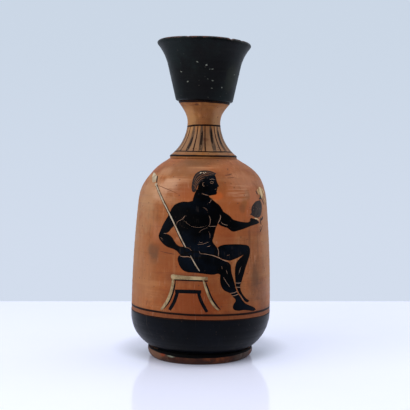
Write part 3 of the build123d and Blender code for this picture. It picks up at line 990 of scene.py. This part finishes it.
NEAR_LEG = outline(
    [(-11.2, 55.4), (-11.7, 53.8), (-11.2, 51.8), (-10.2, 49.8), (-8.8, 48.2), (-7, 47.4), (-3, 47.1),
     (0, 46.8), (3, 46.4), (6, 46.3), (8.3, 46.7), (9.2, 46.2)],
    [(9.1, 44), (9.3, 42), (9.9, 40.1), (10.8, 38.7), (12.2, 37.7), (13.8, 37), (14.9, 36.1), (15.5, 35.1),
     (16.4, 34.3), (17.2, 33.4), (17.2, 32.6), (16.4, 31.5), (15.8, 30.2), (16, 28.8), (17, 28)],
    [(19, 27.7), (21.5, 27.9), (25, 27.5), (29, 27.1), (30.3, 27.6)],
    [(28.9, 28.7), (25.6, 30), (23, 31.2), (21.4, 32.6), (20.2, 34.2), (19.2, 35.6), (18.2, 36.9),
     (17.4, 38.6), (16.8, 41), (16.2, 43), (15.5, 45.2), (14.9, 47.4), (14.7, 49.4), (14.5, 50.9),
     (13.6, 52.3)],
    [(12, 53.1), (9.5, 54.2), (7, 55.4), (4, 56.4), (0, 57.3), (-5, 57.6), (-11.2, 55.4)],
)
FAR_LEG = outline(
    [(7.4, 59.4), (9, 60.7), (11, 61.3), (14, 61.5), (18, 61.5), (22, 61.2), (24.4, 60.8), (25.6, 60),
     (26.1, 58.6), (26.1, 57), (25.5, 55), (24.5, 52.8), (23.5, 50.6), (22.4, 47.8), (21.4, 45),
     (20.5, 42.5), (19.8, 40.6), (19.9, 38.6), (20.5, 37.2), (21.4, 35.8), (22.8, 34.2), (24.2, 33.2),
     (25.4, 32.5)],
    [(24.6, 31.8), (23, 32.1), (21.6, 33.2), (20.2, 35), (19, 36.9), (18.2, 38.4), (17.4, 40.2), (17.1, 42),
     (16.9, 44.5), (16.8, 47.5), (17, 50.3), (17.7, 52.3), (19.2, 54), (20.6, 55.1), (21.9, 56.1)],
    [(20, 55.3), (18, 54.5), (16, 53.8), (14, 53.3), (12, 53.6), (10, 54.2), (8, 55), (6.5, 57),
     (7.4, 59.4)],
)
FACE = outline(
    [(-2.4, 91.4), (-0.6, 93.4), (2.4, 95.4), (7.3, 96.2)],
    [(7.8, 95), (7.95, 93.6), (8.1, 92.8), (8.6, 91.7), (9.0, 90.9)],
    [(8.7, 90.4), (8.0, 90.2)],
    [(8.25, 89.7), (7.7, 89.25)],
    [(7.95, 88.8), (7.45, 88.2), (7.65, 87.4), (7.1, 86.6), (5.6, 86.25), (3.3, 85.9)],
    [(2, 84.5), (-3.6, 85.4)],
    [(-3.3, 87.2), (-2.9, 88.6), (-2.6, 90), (-2.4, 91.4)],
)
INCISED = [
    stroke(0.15, (-13, 70.8), (-12.6, 72.4), (-11.2, 73.2), (-10, 73.8), (-9, 75.2), (-8, 75.6)),
    stroke(0.07, (-10, 73.5), (-8.5, 72.8), (-7, 71.5), (-5.5, 70.5), (-3.5, 70), (-1.5, 69.9), (0.5, 70.3),
           (2.5, 70.8)),
    stroke(0.13, (3.5, 75.7), (4, 74.5), (4.1, 72.8), (3.7, 71.2), (3.2, 70.7)),
    stroke(0.15, (3, 70.6), (5, 70.5), (7.2, 70.6)),
    stroke(0.1, (0.5, 80.2), (2, 79), (2.6, 78.4)),
    stroke(0.14, (4.7, 84.2), (4.3, 83.2), (3.3, 82.2)),
    stroke(0.07, (3, 70), (1, 69.2), (-0.8, 68), (-1.5, 66.9)),
    stroke(0.1, (3.3, 68), (3.9, 66.5), (4, 64.5)),
    stroke(0.13, (-2, 61.3), (1, 61.7), (3.5, 62.8)),
    stroke(0.18, (2.6, 60.3), (3.5, 60.5), (4.4, 60.9)),
    stroke(0.11, (-1.4, 62.7), (-0.4, 62.3), (0.4, 62.6)),
    stroke(0.23, (9.2, 76.3), (9.3, 74.8), (8.7, 73.3), (7.9, 71.9)),
    stroke(0.16, (9.5, 72.8), (10.5, 71.8), (11.8, 71.4), (13.2, 71)),
    stroke(0.21, (-20, 66.2), (-18.4, 66.3), (-16, 66.2)),
    stroke(0.14, (-22, 64.5), (-21.2, 63.8), (-20.3, 63.2)),
    stroke(0.19, (-1, 58.2), (-0.9, 57.2), (2, 56.6), (5, 56), (8, 55), (11, 53.5), (13.8, 52.4)),
    stroke(0.36, (3.5, 56.3), (5, 56), (8, 55), (11, 53.5), (13.4, 52.6)),
    stroke(0.21, (7.6, 60.2), (8.3, 58), (8.2, 55.4)),
    stroke(0.16, (-8, 59.8), (-6, 59.2), (-4.8, 58.2)),
    stroke(0.31, (-10.6, 55.3), (-8.5, 55), (-6.5, 55.1), (-4.8, 54.6)),
    stroke(0.14, (10.7, 44.9), (12.2, 42.6), (14.2, 39.8)),
    stroke(0.13, (9.8, 50.5), (10.2, 49.2)),
    stroke(0.13, (12.2, 48.5), (12.8, 46.6)),
    stroke(0.13, (12.5, 55.8), (14, 56.3)),
    stroke(0.14, (20.2, 50), (19.4, 48), (18.8, 46.4)),
    stroke(0.26, (14.2, 36.7), (16, 36.9), (18.4, 37.7), ends=1),
    stroke(0.26, (14.9, 35.3), (16.8, 35.6), (19.2, 36.4), ends=1),
    stroke(0.26, (16.6, 42), (18.2, 41.8), (20.6, 41.9), ends=1),
    stroke(0.26, (16.9, 39.9), (18.4, 39.7), (20.2, 39.6), ends=1),
    stroke(0.21, (18.3, 37.6), (19.6, 35.9), (21, 34), (22.6, 32.2), (24, 31.3)),
    stroke(0.16, (-0.4, 87), (1.2, 86.4), (3.2, 86)),
    stroke(0.12, (4.1, 92.5), (5.1, 93.05), (6.3, 92.5)),
    stroke(0.12, (4.1, 92.5), (5.1, 92.0), (6.3, 92.5)),
    stroke(0.12, (3.8, 93.8), (5.2, 94.25), (7.0, 93.8)),
    stroke(0.13, (1.1, 92.5), (0.3, 92.3), (0.0, 91.4), (0.5, 90.5), (1.1, 90.8)),
    stroke(0.12, (7.5, 89.2), (6.4, 89.1)),
]
LIMBS = [TORSO, BENT_ARM, REACHING_ARM, NEAR_LEG, FAR_LEG, FACE]
# The figure's slip is clouded from black to blue-black: a painted bluish sheen.
FIGURE_SLIP = slip_finish("figure slip", srgb(1, 2, 3), srgb(8, 16, 26), 0.04, 0.45)
painted("figure_black", drawn_skin, LIMBS, INCISED, FIGURE_SLIP)
CONTOURS = [stroke(CONTOUR, *shape[::3], shape[0], ends=1) for shape in LIMBS]
CONTOUR_SLIP = slip_finish("contour slip", srgb(3, 3, 3), srgb(7, 6, 6), 0.05, 0.4)
painted("figure_contour", drawn_skin, CONTOURS, INCISED, CONTOUR_SLIP, SLIP * 2, LIMBS)
CUT_DUST = clay_finish("cut dust", srgb(206, 168, 140), srgb(180, 138, 108), srgb(224, 194, 168))
painted("incised_dust", drawn_skin, INCISED, [], CUT_DUST, SLIP * 0.3, LIMBS)

# Hair and bud: the same slip thinned with water, brushed on in short overlapping strokes.
# It fires to a streaky brown grey, and is scratched through where the hair is combed.
def dilute_finish(name, thick, thin, bare):
    """Watered slip: streaks of thick and thin, with the clay showing in places."""
    material, tree, shader = new_finish(name)
    stroked = effect(tree, WHEEL_MARKS, Round=420.0, Up=160.0)
    cloud = effect(tree, KILN_MOTTLE, Scale=190.0, Low=0.36, High=0.64)
    colour = over(tree, cloud, thick, thin)
    colour = over(tree, ranged(tree, stroked, 0.5, 0.74), colour, thick)
    speck = effect(tree, PITS, Scale=900.0, Size=0.32)
    colour = touched(tree, colour, speck, 0.7, bare)
    surfaced(tree, shader, colour, ranged(tree, stroked, 0.3, 0.7, 0.44, 0.6), 0.14, stroked, 0.00006)
    return material


HAIR_SLIP = dilute_finish("hair slip", srgb(20, 16, 15), srgb(48, 39, 36), srgb(124, 100, 88))
BUD_SLIP = dilute_finish("bud slip", srgb(31, 20, 15), srgb(58, 43, 33), srgb(140, 100, 74))

HAIR = outline(
    [(7.3, 96.1), (8.5, 97.1)],
    [(6, 98), (2, 98.5), (-2, 98.1), (-4.4, 96.8), (-5.6, 94.6), (-6, 91.5), (-5.9, 89), (-5.2, 87.6),
     (-4.3, 87.4)],
    [(-3.4, 88.3), (-3.1, 89.8), (-2.4, 91.3), (-1, 92.6), (0.6, 93.4), (2.4, 93.4)],
    [(2.9, 94.6), (4.6, 95.6), (7.3, 96.1)],
)
COMBED = [
    stroke(0.15, (7.2, 96.9), (3, 97.6), (-1, 97.2), (-3.8, 95.7), (-5.2, 93)),
    stroke(0.15, (5.6, 96.4), (2.6, 96.8), (-0.6, 96.2), (-3.2, 94.5), (-4.7, 91.6)),
    stroke(0.14, (4, 95.8), (1.4, 95.9), (-1.4, 94.9), (-3.4, 92.9), (-4.6, 90)),
    stroke(0.14, (2.4, 94.6), (0.2, 94.6), (-2, 93.2), (-3.6, 91), (-4.6, 88.6)),
    stroke(0.16, (-5.6, 91.4), (-4.4, 90.6), (-3.6, 89.4), (-2.9, 88)),
]
painted("figure_hair", drawn_skin, [HAIR], COMBED, HAIR_SLIP, SLIP * 1.4)

BUD = outline(
    [(26.9, 76.5), (28.2, 77.3), (28.1, 78.8), (29, 80.6), (31, 82.3), (32.6, 83.1), (34.6, 83.4),
     (36.6, 83.5), (38, 82.7), (38.8, 81), (38.5, 79), (37.5, 77), (36, 75.4), (33.6, 74.7)],
    [(31, 74.9), (29, 75.7), (26.9, 76.5)],
)
BUD_STROKES = [
    stroke(0.9, (34.3, 88.6), (34.5, 87.6), (35.2, 86.6)),
    stroke(0.9, (36, 84.3), (39, 84.6), (40.8, 82.8), (42, 81.2)),
    stroke(0.8, (37, 83.2), (37.6, 85), (38.4, 86.4)),
    stroke(0.6, (36.6, 84.4), (38.6, 85.6), (40.4, 85.5)),
    stroke(1.2, (39.2, 75.2), (38, 74), (36.4, 73.4)),
    stroke(0.9, (36.8, 75), (36, 72.8), (36.6, 70.8)),
    stroke(0.5, (38, 70.8), (36.8, 69), (34.8, 67.2)),
    stroke(0.4, (35.6, 70.4), (35.2, 68.8), (35.8, 67.4)),
]
painted("held_bud", drawn_skin, [BUD, *BUD_STROKES], [], BUD_SLIP)

# Added white: a thick cream slip for the staff, the stool, the blossom and the leaves in the hair.
# It has no gloss, has cracked and worn thin, and strokes of black slip run beside it.
def white_finish(name, pale, worn):
    """Cream slip with no gloss: clouded, cracked and worn through in specks."""
    material, tree, shader = new_finish(name)
    cloud = effect(tree, KILN_MOTTLE, Scale=260.0, Low=0.34, High=0.68)
    colour = over(tree, cloud, pale, worn)
    crack = effect(tree, SCRATCHES, Scale=420.0, Width=0.05)
    colour = touched(tree, colour, crack, 0.6, srgb(120, 88, 62))
    speck = effect(tree, PITS, Scale=1500.0, Size=0.3)
    colour = touched(tree, colour, speck, 0.5, srgb(140, 92, 60))
    roughness = ranged(tree, cloud, 0.0, 1.0, 0.66, 0.8)
    surfaced(tree, shader, colour, roughness, 0.3, sums(tree, "SUBTRACT", cloud, crack), 0.00008)
    return material


STOOL_WHITE = white_finish("stool white", srgb(198, 172, 126), srgb(126, 102, 68))
STAFF_WHITE = white_finish("staff white", srgb(212, 196, 168), srgb(170, 146, 116))
WHITE = 0.3

STAFF_TIP = outline(
    [(-41, 97.2), (-38, 96.6), (-35, 96), (-32.2, 94.8), (-30.8, 92.4)],
    [(-33, 91.9), (-35.2, 92.9), (-37.6, 94.6), (-41, 97.2)],
)
STAFF_LINE = [
    (-28.8, 90.6), (-24.9, 86.6), (-19.7, 79.9), (-16.7, 75.5), (-13.7, 70.5), (-10.7, 65), (-7.8, 59.8),
]
STAFF = [
    STAFF_TIP,
    stroke(1.3, (-30.2, 90.7), (-29.4, 91), (-28.4, 90.9), ends=0.6),
    stroke(0.62, *STAFF_LINE, ends=0.7),
    stroke(0.82, *STAFF_LINE[:3]),
    stroke(0.48, (-5.3, 55.6), (-3.4, 52.2), (-0.8, 48), ends=0.6),
]
painted("staff_white", drawn_skin, STAFF, [], STAFF_WHITE, WHITE)
STAFF_EDGES = [
    stroke(0.9, (-32.2, 95.4), (-30.6, 93.6), (-29.4, 91.7)),
    stroke(1.5, *STAFF_LINE, ends=0.9),
]
STAFF_EDGE_SLIP = dilute_finish("staff edge slip", srgb(9, 6, 6), srgb(27, 20, 19), srgb(112, 86, 72))
painted("staff_edge", drawn_skin, STAFF_EDGES, [], STAFF_EDGE_SLIP)

SEAT = outline(
    [(-14.9, 44.6), (-14.6, 45.6), (-13.6, 45.9)],
    [(-8, 45.4), (-2, 45.2), (3.1, 45.1)],
    [(3.2, 44.3), (3.1, 43.6)],
    [(-3, 43.5), (-9, 43.5), (-14.3, 43.4)],
    [(-14.9, 44.6)],
)
STOOL = [
    SEAT,
    stroke(1.45, (-13.6, 43.7), (-13.8, 41), (-14.4, 37.6), (-15.6, 34), (-17.4, 30.6), (-19.8, 27.5),
           ends=0.75),
    stroke(1.05, (1, 43.7), (2, 40.4), (3.4, 36.4), (5, 32.8), (6.8, 30.1), (8.6, 28.3), ends=0.6),
]
painted("stool_white", drawn_skin, STOOL, [], STOOL_WHITE, WHITE)
STOOL_BLACK = [
    stroke(0.7, (-14.4, 43.1), (-8, 43.2), (-2, 43.1), (3.2, 43), ends=0.8),
    stroke(0.75, (-12.4, 43), (-12.8, 40), (-13.4, 37), (-14.6, 33.6), (-16.4, 30.4), (-18.2, 28.2)),
    stroke(0.8, (2.2, 43), (3.2, 39.6), (4.6, 35.8), (6.4, 32.4), (8.2, 30), (9.5, 28.5)),
    stroke(1.9, (-12.5, 37.4), (-6, 37.5), (0.2, 37.5), ends=0.9),
    stroke(1.75, (-11, 38), (-12, 34.4), (-13.3, 31), (-15.2, 27.7), ends=0.85),
    stroke(1.6, (-1.3, 38), (-0.3, 34.2), (1.2, 30.8), (3.1, 27.4), ends=0.85),
]
painted("stool_black", drawn_skin, STOOL_BLACK, [], BLACK_SLIP)
BLOSSOM_WHITE = white_finish("blossom white", srgb(238, 208, 156), srgb(204, 164, 108))
BLOSSOM = outline(
    [(39.9, 84.4), (38.4, 86.6), (38.1, 88.6), (39.2, 90.4), (40.8, 90.3), (41.8, 88.6), (41.4, 86.6),
     (39.9, 84.4)],
)
PETALS = [
    stroke(1.3, (36.8, 89.4), (36.3, 88.2), (37.2, 86.6), ends=0.4),
    stroke(0.9, (42.4, 89.6), (44.2, 88.4), (44.6, 86.8)),
    stroke(0.7, (41.5, 86.3), (44, 84), (46.4, 81)),
]
FINGER = stroke(0.5, (30.4, 74.4), (32, 74.2), (34.2, 73.5), ends=0.5)
painted("blossom_white", drawn_skin, [BLOSSOM, *PETALS, FINGER], [], BLOSSOM_WHITE, WHITE)
WREATH = [
    stroke(0.5, (-1.9, 96.8), (-1.4, 97.3), (-0.8, 97.4)),
    stroke(0.4, (0.0, 97.6), (0.5, 97.2), (0.9, 96.8)),
    stroke(0.35, (1.3, 97.7), (1.7, 97.4), (2.1, 97.5)),
]
painted("wreath_white", drawn_skin, WREATH, [], STAFF_WHITE, WHITE)

# Crust and scuffs: pale lime crust in pits of the mouth's slip, and brown scuffs on the wall.
# They are what burial and handling left, each a flake or a streak, listed one by one.
CRUST_SPOTS = [
    (1.0, 152.2, 0.42), (3.8, 150.4, 0.34), (2.6, 150.3, 0.24), (1.8, 145.4, 0.22), (4.2, 144.7, 0.36),
    (4.0, 140.9, 0.34), (9.8, 141.6, 0.36), (-8.8, 143.8, 0.38), (-12.0, 148.8, 0.36), (-3.1, 153.6, 0.36),
    (17.5, 148.8, 0.3), (26.0, 150.0, 0.4), (33.0, 146.0, 0.35), (-28.0, 151.0, 0.4), (45.0, 153.0, 0.35),
]


def flake(across, height, size):
    """The ragged outline of one flake, wider than tall."""
    turns = np.linspace(0, 2 * math.pi, 18, endpoint=False)
    lobes = 0.2 * np.sin(2 * turns + 5 * across) + 0.14 * np.sin(3 * turns + 3 * height)
    reach = size * (1 + lobes + 0.1 * np.sin(5 * turns + 7 * across))
    return np.stack([across + 1.25 * reach * np.cos(turns), height + 0.8 * reach * np.sin(turns)], 1)


CRUST = white_finish("lime crust", srgb(128, 132, 118), srgb(80, 84, 74))
flakes = [flake(*spot_of_crust) for spot_of_crust in CRUST_SPOTS]
painted("mouth_crust", mouth_skin, flakes, [], CRUST)
SCUFF_CLAY = clay_finish("scuffed clay", srgb(124, 66, 38), srgb(100, 50, 27), srgb(146, 86, 54))
SCUFFS = [
    stroke(0.3, (-27.5, 90.6), (-22, 89.2), (-17, 87.8), (-12.5, 86.2), ends=0.1),
    stroke(0.45, (13.6, 96.2), (16.4, 96.4), (19.2, 97), ends=0.2),
    stroke(0.3, (14.6, 94.8), (17, 95), (20, 95.2), ends=0.2),
    stroke(0.4, (-22, 57.2), (-18, 56.6), (-13, 56), ends=0.2),
    stroke(0.35, (-29, 31.6), (-29.4, 30), (-29.8, 28.6), ends=0.3),
]
painted("wall_scuffs", drawn_skin, SCUFFS, [], SCUFF_CLAY, SLIP * 0.3)

# Tongues: strokes of black slip down the flare of the neck, thin brown ones and broad worn ones in turn.
# They hang between the neck's upper and lower lines, all the way round.
TONGUE_TOP = 121.7
TONGUE_END = 108.5
THIN_TONGUES = [-68, -54, -21, 4, 38, 69]
BROAD_TONGUES = [(-35, 112), (-6, 114.5), (24, 116), (52, 115)]
BACK_TONGUES = np.linspace(84, 277, 13)
THIN_TONGUES += list(BACK_TONGUES[1::2])
BROAD_TONGUES += [(turn, 114 + 2 * math.sin(turn)) for turn in BACK_TONGUES[::2]]

TONGUE_SLIP = dilute_finish("tongue slip", srgb(40, 18, 9), srgb(70, 35, 18), srgb(130, 88, 60))
WASH_SLIP = dilute_finish("wash slip", srgb(90, 67, 49), srgb(118, 88, 64), srgb(150, 112, 82))
SMEAR_SLIP = dilute_finish("smear slip", srgb(20, 11, 6), srgb(50, 32, 20), srgb(120, 88, 64))


def tongue(degrees, width, ends):
    """One stroke down the neck's flare, with a slight sway of the hand."""
    across = math.radians(degrees) * NECK_UNROLL_RADIUS
    sway = 0.2 * math.sin(2.3 * degrees)
    upper = [(across + sway, TONGUE_TOP), (across, 117)]
    lower = [(across - sway, 112), (across + 0.5 * sway, TONGUE_END)]
    return stroke(width, *upper, *lower, ends=ends)


def dark_core(degrees, height):
    """The dark middle of a broad tongue, where the slip pooled."""
    across = math.radians(degrees) * NECK_UNROLL_RADIUS
    return stroke(1.4, (across + 0.3, height + 4.8), (across, height), (across - 0.3, height - 4), ends=0.1)


thin_tongues = [tongue(degrees, 0.74, 0.8) for degrees in THIN_TONGUES]
broad_tongues = [tongue(degrees, 2.2, 0.6) for degrees, _ in BROAD_TONGUES]
dark_cores = [dark_core(*core) for core in BROAD_TONGUES]
painted("neck_thin_tongues", neck_skin, thin_tongues, [], TONGUE_SLIP)
painted("neck_broad_tongues", neck_skin, broad_tongues, [], WASH_SLIP)
painted("neck_dark_tongues", neck_skin, dark_cores, [], SMEAR_SLIP, SLIP * 2.6)

# Stage: a pale, slightly glossy table top that ends behind the flask, in front of a pale blue wall.
# Soft lamps stand at the front left, at the right and overhead. Sizes here are in metres.
TABLE_BACK = 0.181
TABLE_FRONT = -1.6
TABLE_SIDE = 2.0
SHADE_MIDDLE = (0, 0.022, 0)
SHADE_EDGES = (0.0345, 0.052)
FOOT_SHADE_EDGES = (0.026, 0.036)
TABLE_COLOUR = srgb(228, 231, 254)
TABLE_LIFT = 0.32
WALL_COLOUR = srgb(211, 221, 237)
WALL_TOP_COLOUR = srgb(203, 215, 230)
ROOM_COLOUR = srgb(48, 52, 60)

TABLE, tree, shader = new_finish("table top")
grain = effect(tree, KILN_MOTTLE, Scale=6.0, Low=0.3, High=0.7)
tree.links.new(over(tree, grain, TABLE_COLOUR, srgb(232, 234, 255)), shader.inputs["Base Color"])
shader.inputs["Roughness"].default_value = 0.1
shader.inputs["Specular IOR Level"].default_value = 0.2
rays = lay(tree, "LightPath")
place = lay(tree, "TexCoord").outputs["Object"]
away = lay(tree, "VectorMath", {0: place}, operation="LENGTH").outputs["Value"]
# Painted shadow: the table's glow fades towards the back, and is taken away around the foot and behind the
# flask, so the table is painted darker there.
depth = ranged(tree, lay(tree, "SeparateXYZ", {0: place}).outputs["Y"], -0.12, TABLE_BACK, 1.0, 0.74)
rear = lay(tree, "VectorMath", {0: place, 1: SHADE_MIDDLE}, operation="DISTANCE").outputs["Value"]
near_foot = ranged(tree, away, *FOOT_SHADE_EDGES, 0.6, 1.0)
shade = sums(tree, "MULTIPLY", ranged(tree, rear, *SHADE_EDGES, 0.05, 1.0), near_foot)
open_floor = sums(tree, "MULTIPLY", shade, depth)
mirrored = sums(tree, "MAXIMUM", rays.outputs["Is Glossy Ray"], rays.outputs["Is Transmission Ray"])
seen = sums(tree, "MAXIMUM", rays.outputs["Is Camera Ray"], mirrored)
lift = sums(tree, "MULTIPLY", sums(tree, "MULTIPLY", seen, open_floor), TABLE_LIFT)
glow = lay(tree, "Emission", {"Color": srgb(230, 236, 255), "Strength": lift})
both = lay(tree, "AddShader", {0: shader.outputs[0], 1: glow.outputs[0]})
tree.links.new(both.outputs[0], tree.nodes["Material Output"].inputs["Surface"])
table_mesh = bpy.data.meshes.new("table_top")
table_front = [(-TABLE_SIDE, TABLE_FRONT, 0), (TABLE_SIDE, TABLE_FRONT, 0)]
table_back = [(TABLE_SIDE, TABLE_BACK, 0), (-TABLE_SIDE, TABLE_BACK, 0)]
table_mesh.from_pydata(table_front + table_back, [], [(0, 1, 2, 3)])
table_mesh.materials.append(TABLE)
table = placed("table_top", table_mesh)

world = bpy.data.worlds.new("studio")
bpy.context.scene.world = world
world.use_nodes = True
air = world.node_tree
sky = air.nodes["Background"]
sky.inputs["Color"].default_value = srgb(222, 230, 240)
sky.inputs["Strength"].default_value = 0.3
way = lay(air, "SeparateXYZ", {0: lay(air, "TexCoord").outputs["Generated"]})
# Painted shade: the wall's colour darkens towards the top.
painted_wall_shade = ranged(air, way.outputs["Z"], -0.16, 0.18)
wall = lay(air, "Background", {"Color": over(air, painted_wall_shade, WALL_COLOUR, WALL_TOP_COLOUR), "Strength": 1.0})
behind = ranged(air, way.outputs["Y"], -0.4, 0.4)
room = lay(air, "Background", {"Color": over(air, behind, ROOM_COLOUR, WALL_COLOUR), "Strength": 1.0})
rays = lay(air, "LightPath")
seen = sums(air, "MAXIMUM", rays.outputs["Is Camera Ray"], rays.outputs["Is Transmission Ray"])
shown = lay(air, "MixShader", {0: rays.outputs["Is Glossy Ray"], 1: sky.outputs[0], 2: room.outputs[0]})
mixed = lay(air, "MixShader", {0: seen, 1: shown.outputs[0], 2: wall.outputs[0]})
air.links.new(mixed.outputs[0], air.nodes["World Output"].inputs["Surface"])

LAMP_SIZE = 1.1
LAMP_AIM = Vector((0, 0, 0.08))


def soft_lamp(name, place, power, colour):
    """A square soft lamp aimed at the middle of the flask."""
    data = bpy.data.lights.new(name, "AREA")
    data.size = LAMP_SIZE
    data.energy = power
    data.color = colour
    lamp = placed(name, data)
    lamp.location = place
    lamp.rotation_euler = (LAMP_AIM - Vector(place)).to_track_quat("-Z", "Y").to_euler()


soft_lamp("front_left_lamp", (-0.72, -0.5, 0.62), 6.2, (1.0, 0.97, 0.93))
soft_lamp("right_lamp", (0.85, 0.05, 0.55), 2.7, (0.95, 0.97, 1.0))
soft_lamp("top_lamp", (0.0, 0.12, 0.95), 4.6, (0.97, 0.98, 1.0))

# Camera: a long lens that stands half a metre in front of the flask.
# It is a little above the flask's middle and looks slightly down on it. Sizes here are in metres.
CAMERA_PLACE = Vector((0.00265, -0.485, 0.105))
CAMERA_AIM = Vector((0.00265, 0, 0.0801))
lens = bpy.data.cameras.new("camera")
lens.sensor_fit = "HORIZONTAL"
lens.sensor_width = 36
lens.lens = 80.15
camera = placed("camera", lens)
camera.location = CAMERA_PLACE
camera.rotation_euler = (CAMERA_AIM - CAMERA_PLACE).to_track_quat("-Z", "Y").to_euler()
bpy.context.scene.camera = camera
bpy.context.scene.view_settings.view_transform = "Standard"
